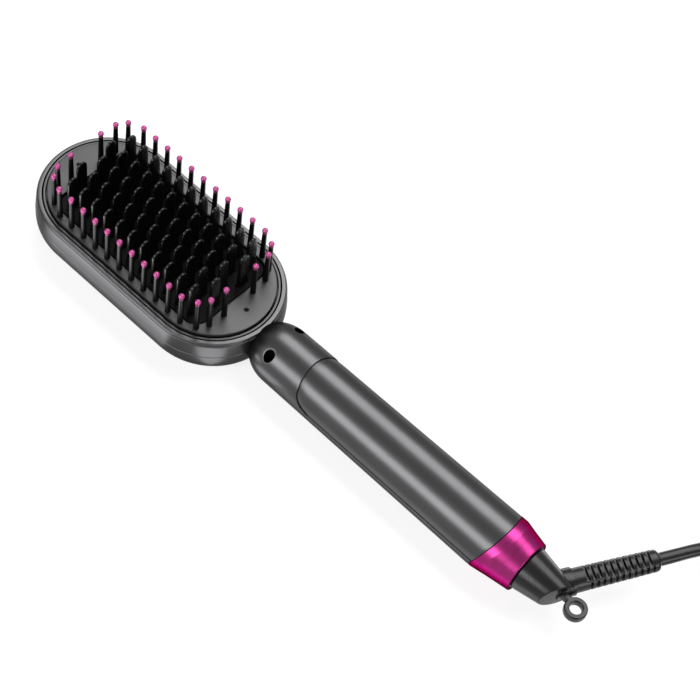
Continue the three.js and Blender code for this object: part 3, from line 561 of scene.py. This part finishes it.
# Neck and grip
def cover_edge(phi, gap=0.0):
    """Front edge of the cover: a shallow dip at the top, a quarter circle at each side corner."""
    r = float(handle_r(105))
    straight = r * math.pi / 2 - EDGE_CORNER
    s = np.abs(phi) * r
    over = np.clip(s - straight, 0, EDGE_CORNER)
    round_off = EDGE_CORNER - np.sqrt(np.maximum(EDGE_CORNER ** 2 - over ** 2, 0))
    return EDGE_X + EDGE_DIP * np.minimum(1, (s / straight) ** 2) + round_off - gap


def seam_x(phi, r):
    """Slanted plane in front of the ring: further back by the slope times the height over the axis."""
    return SEAM_X + SEAM_SLOPE * r * np.cos(phi) - SEAM_GAP


def well_patch(x_rows, phi_cols, i0, i1, j0, j1, well):
    """Patch from a block's border to a round upright well: straight blend, rounded lip, wall, floor
    and bore."""
    i = np.concatenate([np.full(j1 - j0, i0), np.arange(i0, i1), np.full(j1 - j0, i1),
                        np.arange(i1, i0, -1)])
    j = np.concatenate([np.arange(j0, j1), np.full(i1 - i0, j1), np.arange(j1, j0, -1),
                        np.full(i1 - i0, j0)])
    x, phi = x_rows[i], phi_cols[j]
    y = neck_r(x) * np.sin(phi)
    cx, cy, r = well
    angle = np.arctan2(y - cy, x - cx)
    c, s = np.cos(angle), np.sin(angle)

    def top(u, v):
        return AXIS_Z + np.sqrt(np.maximum(neck_r(u) ** 2 - v ** 2, 0))

    t = np.linspace(0, 1, 9)[:, None]
    wide = r + WELL_LIP
    gx, gy = x + (cx + wide * c - x) * t, y + (cy + wide * s - y) * t
    rows = [np.stack([gx, gy, top(gx, gy)], -1)]
    a = np.linspace(0, math.pi / 2, 7)[1:, None]
    rho = r + WELL_LIP * (1 - np.sin(a))
    lx, ly = cx + rho * c, cy + rho * s
    rows.append(np.stack([lx, ly, top(lx, ly) - WELL_LIP * (1 - np.cos(a))], -1))
    edge = rows[-1][-1]
    t = np.linspace(0, 1, 8)[1:, None]
    rows.append(np.stack([edge[:, 0] + 0 * t, edge[:, 1] + 0 * t,
                          edge[:, 2] + (WELL_FLOOR - edge[:, 2]) * t], -1))
    for rho, z in ((BORE_R, WELL_FLOOR), (BORE_R, BORE_FLOOR), (0.0, BORE_FLOOR)):
        rows.append(np.stack([cx + rho * c, cy + rho * s, z + 0 * angle], -1)[None])
    return Sheet(np.concatenate(rows))


def neck_shape():
    """Half-ellipse dome and neck as rings back to the cover's front edge, where the upper half ends in a
    small round edge and a face towards the axis. Two blocks of cells give way to the screw wells."""
    phi = np.radians(np.arange(-180, 180, 2.5))
    x = np.concatenate([NECK_X - DOME * np.cos(np.linspace(0, math.pi / 2, 27)),
                        np.linspace(NECK_X + 1, NECK_END, 11)])
    rings = [on_handle(x[:, None], phi, neck_r(x)[:, None])]
    edge = cover_edge(np.clip(phi, -math.pi / 2, math.pi / 2), NECK_GAP)
    corner = 0.3 * (np.abs(phi) < math.radians(89))
    back = edge - corner
    run = NECK_END + (back - NECK_END) * np.linspace(0, 1, 13)[1:, None]
    rings.append(on_handle(run, phi, handle_r(run)))
    a = np.radians([30, 60, 90])[:, None]
    rings.append(on_handle(back + corner * np.sin(a), phi, handle_r(edge) - corner * (1 - np.cos(a))))
    rings.append(on_handle(np.stack([edge, 0 * edge + 106]), phi,
                           np.stack([handle_r(edge) - GRIP_WALL, 0 * edge])))
    rings = np.concatenate(rings)
    keep = np.ones((len(rings) - 1, len(phi)), bool)
    i0, i1 = (int(np.abs(x - WELL[0] - side).argmin()) for side in (-WELL_BLOCK, WELL_BLOCK))
    sheets = []
    for sign in (1, -1):
        j0, j1 = sorted(int(np.abs(phi - sign * math.radians(d)).argmin()) for d in (20, 67.5))
        keep[i0:i1, j0:j1] = False
        sheets.append(well_patch(x, phi, i0, i1, j0, j1, (WELL[0], sign * WELL[1], WELL[2])))
    return [Sheet(rings, keep=keep)] + sheets


def trough_shape():
    """Lower half of the tube, from the neck to the slanted seam: outside, rounded edge, inside and
    back. The ends are strips between the outside and the inside."""
    start = float(cover_edge(np.array(math.pi / 2), NECK_GAP))
    angle = np.radians(np.arange(90, 270.1, 2.5))[2:-2]
    edge_out = [math.radians(90.1), math.radians(90.35), math.radians(91)]
    outer = np.concatenate([edge_out, angle, 2 * math.pi - np.array(edge_out[::-1])])
    drop = np.zeros(len(outer))
    drop[[0, -1]], drop[[1, -2]] = 0.14, 0.04
    phi = np.concatenate([outer, outer[::-1]])
    inward = np.concatenate([drop, np.full(len(outer), GRIP_WALL)])
    stops = np.concatenate([np.linspace(start, PANEL[0], 6), np.linspace(*PANEL, 28)[1:],
                            np.linspace(PANEL[1], EVEN_TO, 16)[1:]])[:, None]
    last = seam_x(phi, SEAM_R) - EVEN_TO
    x = np.concatenate([stops + 0 * phi, EVEN_TO + last * np.linspace(0, 1, 5)[1:, None]])
    body = on_handle(x, phi, handle_r(x) - inward)
    n = len(outer)
    ends = [Sheet(np.stack([row[:n], row[:n - 1:-1]]), False) for row in (body[0], body[-1])]
    return [Sheet(body)] + ends


head_core = stadium([[0, -24.8], [24, -24.8], [34.1, -13], [34.1, -2.7], [32.8, -1.9], [31.9, -0.6],
                     [31.9, 0.6], [0, 0.6]])
neck = skin("neck_dome", neck_shape())
carve(neck, skin("block", [head_core], merge=4e-6))
finish(neck, "handle", shell_paint, (), 34)
grip = skin("grip_trough", trough_shape())


def slab_on_handle(x0, x1, half, deep, proud):
    """Curved slab under the handle: |y| <= half, between two radii, the handle's plus proud and less
    deep."""
    x = np.linspace(x0, x1, 60)[:, None]
    y = half * np.linspace(-1, 1, 33)
    r = handle_r(x)
    outer, inner = (np.stack([x + 0 * y, y + 0 * x, AXIS_Z - np.sqrt((r + out) ** 2 - y ** 2)], -1)
                    for out in (proud, -deep))
    return np.concatenate([outer, inner[:, ::-1]], 1)


def closed_slab(name, grid):
    """Slab of a closed section carried along x, with both ends filled to their middles."""
    flat = [np.repeat(grid[k].mean(0)[None, None], grid.shape[1], 1) for k in (0, -1)]
    return skin(name, [Sheet(np.concatenate([flat[0], grid, flat[1]]))])


def key_holes():
    """Upright rods through the panel, each a little wider than its key or window."""
    spots = [(x, r + KEY_FIT) for x, r in [key[1:] for key in KEYS] + [LENS]]
    return skin("holes", [upright([[-32, 0], [-32, r], [-19.5, r], [-19.5, 0]], x, 0, 48)
                          for x, r in spots])


carve(grip, closed_slab("pocket", slab_on_handle(*PANEL, PANEL_HALF, 1.6, 1.0)))
carve(grip, key_holes())
finish(head, "handle", shell_paint, ("body_shell",), 28)
finish(grip, "handle", shell_paint, (), 34)


# Cover on the upper half
def cover_shape():
    """Upper half tube, a little below the neck. Towards its front and side edges it falls away, as a
    square at the front and as a quarter circle at the sides."""
    u = np.concatenate([np.linspace(0, 1, 25)[:-1] ** 1.6 * 0.09, np.linspace(0.09, 1, 70)])[:, None]
    half_turn = math.radians(89.4)
    phi = half_turn * np.linspace(-1, 1, 97)
    x0 = cover_edge(phi)
    x = x0 + (seam_x(phi, SEAM_R) - x0) * u
    from_front = np.clip((x - x0) / 5.0, 0, 1)
    from_side = np.clip((half_turn - np.abs(phi)) * 15.2 / 0.6, 0, 1)
    drop = 0.42 * (1 - from_front) ** 2 + 0.35 * (1 - np.sqrt(1 - (1 - from_side) ** 2))
    return on_handle(x, phi, handle_r(x) - COVER_SINK - drop)


cover = skin("upper_cover", [Sheet(cover_shape(), False)])
shell = cover.modifiers.new("wall", "SOLIDIFY")
shell.thickness = COVER_WALL / 1000.0
shell.offset = -1.0
round_edges(cover, 0.12, 50)
finish(cover, "handle", shell_paint, ("handle_cover",), 34)

# Control panel, keys and window
panel = closed_slab("panel_inlay", slab_on_handle(PANEL[0] + PANEL_FIT, PANEL[1] - PANEL_FIT,
                                                  PANEL_HALF - PANEL_FIT, 1.3, -0.2))
round_edges(panel, 0.15, 40)
carve(panel, key_holes())
finish(panel, "handle", gloss_black, ("control_panel",))


def flange(x, r):
    """Foot of a key or window: it rests on the inside of the handle's wall, wider than the hole."""
    low = AXIS_Z - math.sqrt((float(handle_r(x)) - GRIP_WALL) ** 2 - (r + FLANGE) ** 2) + 0.3
    return [[low, r], [low, r + FLANGE], [low + FLANGE_T, r + FLANGE], [low + FLANGE_T, 0]]


def key_cap(x, r):
    """Round cap with a shallow dish and a raised ring at 0.62 of its radius, on a flanged stem."""
    ring = r * 0.62
    face = [[-24.55, 0], [-24.6, r * 0.45], [-24.62, ring - 0.35], [-24.86, ring], [-24.62, ring + 0.35],
            [-24.9, r - 0.5], [-24.4, r]]
    return upright(soften(face + flange(x, r), [0, 0.8, 0.15, 0.15, 0.15, 0.3, 0.3, 0, 0.1, 0.1, 0]),
                   x, 0, 56)


for key, x, r in KEYS:
    finish(skin(f"{key}_cap", [key_cap(x, r)]), f"{key}_key", gloss_black, (f"{key}_key",))
lens_profile = soften([[-24.75, 0], [-24.6, LENS[1]]] + flange(*LENS), [0, 0.6, 0.05, 0.1, 0.1, 0])
lens = skin("window_lens", [upright(lens_profile, LENS[0], 0, 40)])
finish(lens, "handle", lens_clear, ("indicator_window",))


# Ring
def ring_shape():
    """Loops on slanted planes, each x + slope * cos(phi) at its radius, with softened creases."""
    outside, inside = 15.62, 11.6
    front = SEAM_X + SEAM_GAP
    loops = np.array([[front, SEAM_SLOPE * outside, outside], [212.8, 7.5, 15.75], [220.3, 4.2, 14.35],
                      [229.05, 0, 12.9], [229.3, 0, 12.6], [229.3, 0, inside],
                      [front, SEAM_SLOPE * inside, inside]])
    phi = np.linspace(0, 2 * math.pi, 160, endpoint=False)
    rows = on_handle(loops[:, :1] + loops[:, 1:2] * np.cos(phi), phi, loops[:, 2:3] + 0 * phi)
    return soften(rows, [0.25, 0.12, 0.12, 0.25, 0.15, 0.1, 0.1], 4, closed=True)


ring = skin("metal_ring", [Sheet(ring_shape(), True, True)])
finish(ring, "handle", anodised, ("tail_ring",), 3)


# Tail cone
def cone_shape():
    """Cone that ends on a slanted plane: each line of the cone stops where x is the plane's place on
    the axis plus its slope times y."""
    phi = np.linspace(0, 2 * math.pi, 128, endpoint=False)
    slant = END_SLOPE * np.sin(phi)
    stop = (CONE_END + slant * (CONE_R + CONE_TAPER * CONE_X)) / (1 + CONE_TAPER * slant)
    r_stop = CONE_R - CONE_TAPER * (stop - CONE_X)
    front = np.full_like(phi, CONE_X - 0.5)
    rows = [on_handle(front, phi, 0.0), on_handle(front, phi, 10.6),
            on_handle(np.full_like(phi, CONE_X), phi, CONE_R), on_handle(stop, phi, r_stop),
            on_handle(np.full_like(phi, CONE_END), phi, 0.0)]
    return soften(np.array(rows), [0, 0.2, 0.3, 0.55, 0], 6)


cone = skin("cone_body", [Sheet(cone_shape())])
boss = lathe(soften([[2, 0], [2, 6.0], [6, 6.45], [11, 6.45], [11, 5.85], [8.2, 5.85], [8.2, 0]],
                    [0, 0, 0.3, 0.25, 0.2, 0.05, 0]), RELIEF_FROM, ALONG, UP, 72)
carve(cone, skin("boss", [boss]), "UNION")
finish(cone, "tail", gloss_black, ("tail_cone",), 30)


# Hanging loop
def stem_shape():
    """Rounded rectangle carried from the cone into the loop, closed at both ends."""
    c, s = rounded_square(np.linspace(0, 2 * math.pi, 64, endpoint=False), (0.35, 0.35))
    stops = np.array([[245.8, 0.0], [245.8, 1.0], [250.0, 1.0], [253.8, 1.0], [253.8, 0.0]])
    x, size = stops[:, :1], stops[:, 1:]
    return np.stack([x + 0 * c, 1.7 + size * 1.5 * c, -10 + size * 2.0 * s], -1)


loop_profile = soften([[-12, 2.9], [-12, 4.95], [-11.6, 5.35], [-8.4, 5.35], [-8, 4.95], [-8, 2.9]],
                      [0.7, 0.3, 0.5, 0.5, 0.3, 0.7], closed=True)
hook = skin("loop_ring", [lathe(loop_profile, LOOP_AT, UP, FORE, 72)._replace(loop=True)])
carve(hook, skin("stem", [Sheet(stem_shape())]), "UNION")
finish(hook, "tail", gloss_black, ("hanging_loop",), 34)


# Face plate
def plate_shape():
    """Rows between the head's outline and the rounded cut-out, ray by ray from the middle."""
    outer = [(HALF + r, r, r, z) for r, z in ((PLATE_R, -3.0), (PLATE_R, 1.0), (29.38, 1.32),
                                              (29.1, 1.48), (28.9, PLATE_TOP), (28.4, 0.0), (28.4, -3.0))]
    inner = [(CUT[0] + g, CUT[1] + g, CUT[2] + g, z) for g, z in ((0.9, PLATE_TOP), (0.35, PLATE_TOP),
                                                                  (0.12, 1.42), (0.0, 1.2), (0.0, 0.0))]
    return outline_rows(360, outer[:5] + inner + outer[5:])


plate = skin("face_plate_top", [Sheet(plate_shape(), True, True)])
pin_at = np.concatenate([[[k * PITCH, s * PIN_ROW] for k in range(-5, 6) for s in (1, -1)]]
                        + [PIN_ENDS * [sx, sy] for sx in (1, -1) for sy in (1, -1)])
pin_hole = [[-1, 0], [-1, 1.45], [1.4, 1.45], [1.52, 1.5], [3, 1.5], [3, 0]]
screw_hole = [[-1, 0], [-1, 1.05], [1.3, 1.05], [1.52, 1.25], [3, 1.25], [3, 0]]
carve(plate, skin("holes", [upright(pin_hole, x, y, 24) for x, y in pin_at]
                  + [upright(screw_hole, x, 0, 32) for x in PLATE_SCREWS]))
finish(plate, "handle", plate_paint, ("face_plate",), 30)

# Guard pins: shafts on their carrier, and ball tips
shaft = soften([[-1.5, 0], [-1.5, 1.42], [1.4, 1.42], [19.9, 1.1], [20.6, 1.1], [PIN_TOP, 0.95],
                [PIN_TOP, 0]], [0, 0, 0.4, 0.2, 0.1, 0.1, 0], 4)
a = np.linspace(-math.pi * 0.33, math.pi / 2, 14)
ball = np.concatenate([[[20.0, 0], [20.0, 1.13], [20.5, 1.16]],
                       np.stack([BALL_Z + BALL_R * np.sin(a), BALL_R * np.cos(a)], -1)])
carrier = outline_rows(240, [(52.8, 27.9, 15.5, -2.2), (52.8, 27.9, 15.5, -0.3), (49, 25.2, 8.2, -0.3),
                             (49, 25.2, 8.2, -2.2)])
pins_black = skin("guard_pin_shafts", [upright(shaft, x, y, 20) for x, y in pin_at]
                  + [Sheet(carrier, True, True)])
finish(pins_black, "handle", pin_black, ("guard_pins",))
tips = skin("guard_pin_tips", [upright(ball, x, y, 24) for x, y in pin_at])
finish(tips, "handle", tip_pink)


# Comb plate and teeth
def tooth_shape():
    """Rounded-rectangle section that narrows to the tip, where width and thickness close on an arc."""
    t = np.radians([0, 10, 20, 30, 38, 46, 54, 61, 68, 74, 80, 85, 90])
    arc = TOOTH_SHOULDER + (TOOTH_TOP - TOOTH_SHOULDER) * np.sin(t)
    z = np.concatenate([[0.2, 0.7, 0.95, 1.4, 2.2, 6, 12, 16], arc, [TOOTH_TOP]])
    wide = np.interp(z, [0.2, 0.7, 0.95, 1.4, 2.2, TOOTH_SHOULDER], [3.85, 3.75, 3.5, 3.35, 3.27, TOOTH_HALF])
    wide[8:] = np.append(TOOTH_HALF * np.cos(t) ** 0.86, 0)
    wide[-2] = 0.3
    thick = np.interp(z, [0.2, 0.7, 0.95, 1.4, 2.2, TOOTH_SHOULDER, 21.0, 22.1, TOOTH_TOP],
                      [1.45, 1.35, 1.12, 1.0, 0.95, 0.9, 0.78, 0.6, 0.4])
    thick[-1] = 0
    c, s = rounded_square(np.linspace(0, 2 * math.pi, 28, endpoint=False) + math.pi / 28, (0.5, 0.42))
    return np.stack([thick[:, None] * c, wide[:, None] * s, z[:, None] + 0 * c], -1)


tooth = tooth_shape()
places = [((k - (n - 1) / 2) * PITCH, y) for row, y in enumerate(ROWS) for n in [12 if row % 2 else 11]
          for k in range(n)]
teeth = skin("comb_teeth", [Sheet(tooth + [x, y, 0]) for x, y in places])
finish(teeth, "handle", ceramic_black, (), 78)
base_edge = ((0.9, COMB_TOP), (0.55, COMB_TOP), (0.3, 0.62), (0.1, 0.42), (0, 0.15), (0, COMB_BACK))
base = outline_rows(240, [(0, 0, 0, COMB_TOP)] + [(47.7 - g, 24.2 - g, 7.2 - g, z) for g, z in base_edge]
                    + [(0, 0, 0, COMB_BACK)])
finish(skin("comb_base", [Sheet(base)]), "handle", base_black, ("comb_plate",), 40)

# Finishes of the drawing's own solids that stay
for material, names in (
        (nylon, ("heater_holder", "power_switch", "plus_switch", "minus_switch", "mains_block",
                 "slip_ring_block", "swivel_bush")),
        (screw_hole_shade, ("plate_screw_tip", "plate_screw_neck", "neck_screw_right", "neck_screw_left")),
        (heater_metal, ("heater",)), (ceramic, ("temperature_sensor",)),
        (board_green, ("circuit_board",)), (steel, ("thermal_fuse",))):
    for name in names:
        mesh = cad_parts[name].data
        mesh.materials.clear()
        mesh.materials.append(material)


# Floor, backdrop and lights
def show_where_seen(tree, usual, shown, out):
    """Gives the usual shader to light, and the shown one to rays from the camera, off gloss and
    through glass."""
    nodes, links = tree.nodes, tree.links
    path = nodes.new("ShaderNodeLightPath")
    first, second = nodes.new("ShaderNodeMath"), nodes.new("ShaderNodeMath")
    first.operation = second.operation = "MAXIMUM"
    links.new(path.outputs["Is Camera Ray"], first.inputs[0])
    links.new(path.outputs["Is Glossy Ray"], first.inputs[1])
    links.new(first.outputs[0], second.inputs[0])
    links.new(path.outputs["Is Transmission Ray"], second.inputs[1])
    mix = nodes.new("ShaderNodeMixShader")
    links.new(second.outputs[0], mix.inputs["Fac"])
    links.new(usual.outputs[0], mix.inputs[1])
    links.new(shown.outputs[0], mix.inputs[2])
    links.new(mix.outputs[0], out.inputs[0])


def lay_ground():
    """White ground that keeps the shadow: to the camera a faint diffuse grey over its own glow."""
    material = bpy.data.materials.new("ground")
    material.use_nodes = True
    tree = material.node_tree
    tree.nodes.clear()
    out = tree.nodes.new("ShaderNodeOutputMaterial")
    plain, faint = tree.nodes.new("ShaderNodeBsdfDiffuse"), tree.nodes.new("ShaderNodeBsdfDiffuse")
    plain.inputs["Color"].default_value = (0.8, 0.8, 0.8, 1)
    faint.inputs["Color"].default_value = (0.28, 0.28, 0.28, 1)
    glow = tree.nodes.new("ShaderNodeEmission")
    glow.inputs["Strength"].default_value = 0.76
    both = tree.nodes.new("ShaderNodeAddShader")
    tree.links.new(faint.outputs[0], both.inputs[0])
    tree.links.new(glow.outputs[0], both.inputs[1])
    show_where_seen(tree, plain, both, out)
    mesh = bpy.data.meshes.new("ground")
    s = 4.0
    mesh.from_pydata([(-s, -s, 0), (s, -s, 0), (s, s, 0), (-s, s, 0)], [], [(0, 1, 2, 3)])
    mesh.materials.append(material)
    ground = bpy.data.objects.new("ground", mesh)
    bpy.context.scene.collection.objects.link(ground)


def light_room():
    """World that gives a dim even light and is seen as white."""
    world = bpy.data.worlds.new("room")
    bpy.context.scene.world = world
    world.use_nodes = True
    tree = world.node_tree
    tree.nodes.clear()
    out = tree.nodes.new("ShaderNodeOutputWorld")
    room, white = tree.nodes.new("ShaderNodeBackground"), tree.nodes.new("ShaderNodeBackground")
    room.inputs["Strength"].default_value = 0.1
    white.inputs["Strength"].default_value = 1.0
    show_where_seen(tree, room, white, out)


def panel_light(name, toward, distance, size, radiance, middle=(0.03, 0, 0.016)):
    """Soft rectangular light whose length runs along the handle, in the given direction from a middle.
    Its power is radiance times pi times its area."""
    data = bpy.data.lights.new(name, "AREA")
    data.shape = "RECTANGLE"
    data.size, data.size_y = size
    data.energy = radiance * math.pi * size[0] * size[1]
    lamp = bpy.data.objects.new(name, data)
    toward = np.asarray(toward, float)
    toward = toward / np.linalg.norm(toward)
    long = FORE - toward[0] * toward
    long /= np.linalg.norm(long)
    turn = Matrix((long, np.cross(toward, long), toward)).transposed().to_4x4()
    turn.translation = np.asarray(middle) + distance * toward
    lamp.matrix_world = turn
    lamp.visible_camera = False
    bpy.context.scene.collection.objects.link(lamp)


lay_ground()
light_room()
panel_light("front_strip", (-0.16, -0.8367, 0.489), 3.0, (3.0, 1.36), 7.8)
panel_light("back_strip", (-0.08, 0.485, 0.83), 3.0, (3.7, 1.70), 6.6)
panel_light("side_panel", (0.97, -0.155, 0.18), 3.0, (0.8, 1.3), 8.0)

# Pale cards on the floor, from x to x and y to y in metres, that light the piece above from below
CARDS = {"head_near": (-0.155, -0.062, -0.048, -0.0405, 2.6),
         "head_far": (-0.165, -0.062, -0.100, -0.048, 6.4),
         "neck_low": (-0.036, -0.014, -0.050, -0.026, 4.5),
         "handle_low": (-0.012, 0.150, -0.040, -0.019, 1.5),
         "handle_back": (-0.060, 0.260, 0.055, 0.120, 2.4)}
for card, (x0, x1, y0, y1, radiance) in CARDS.items():
    panel_light(card, (0, 0, -1), 0, (x1 - x0, y1 - y0), radiance, ((x0 + x1) / 2, (y0 + y1) / 2, 0.0006))
bpy.context.scene.view_settings.view_transform = "Standard"
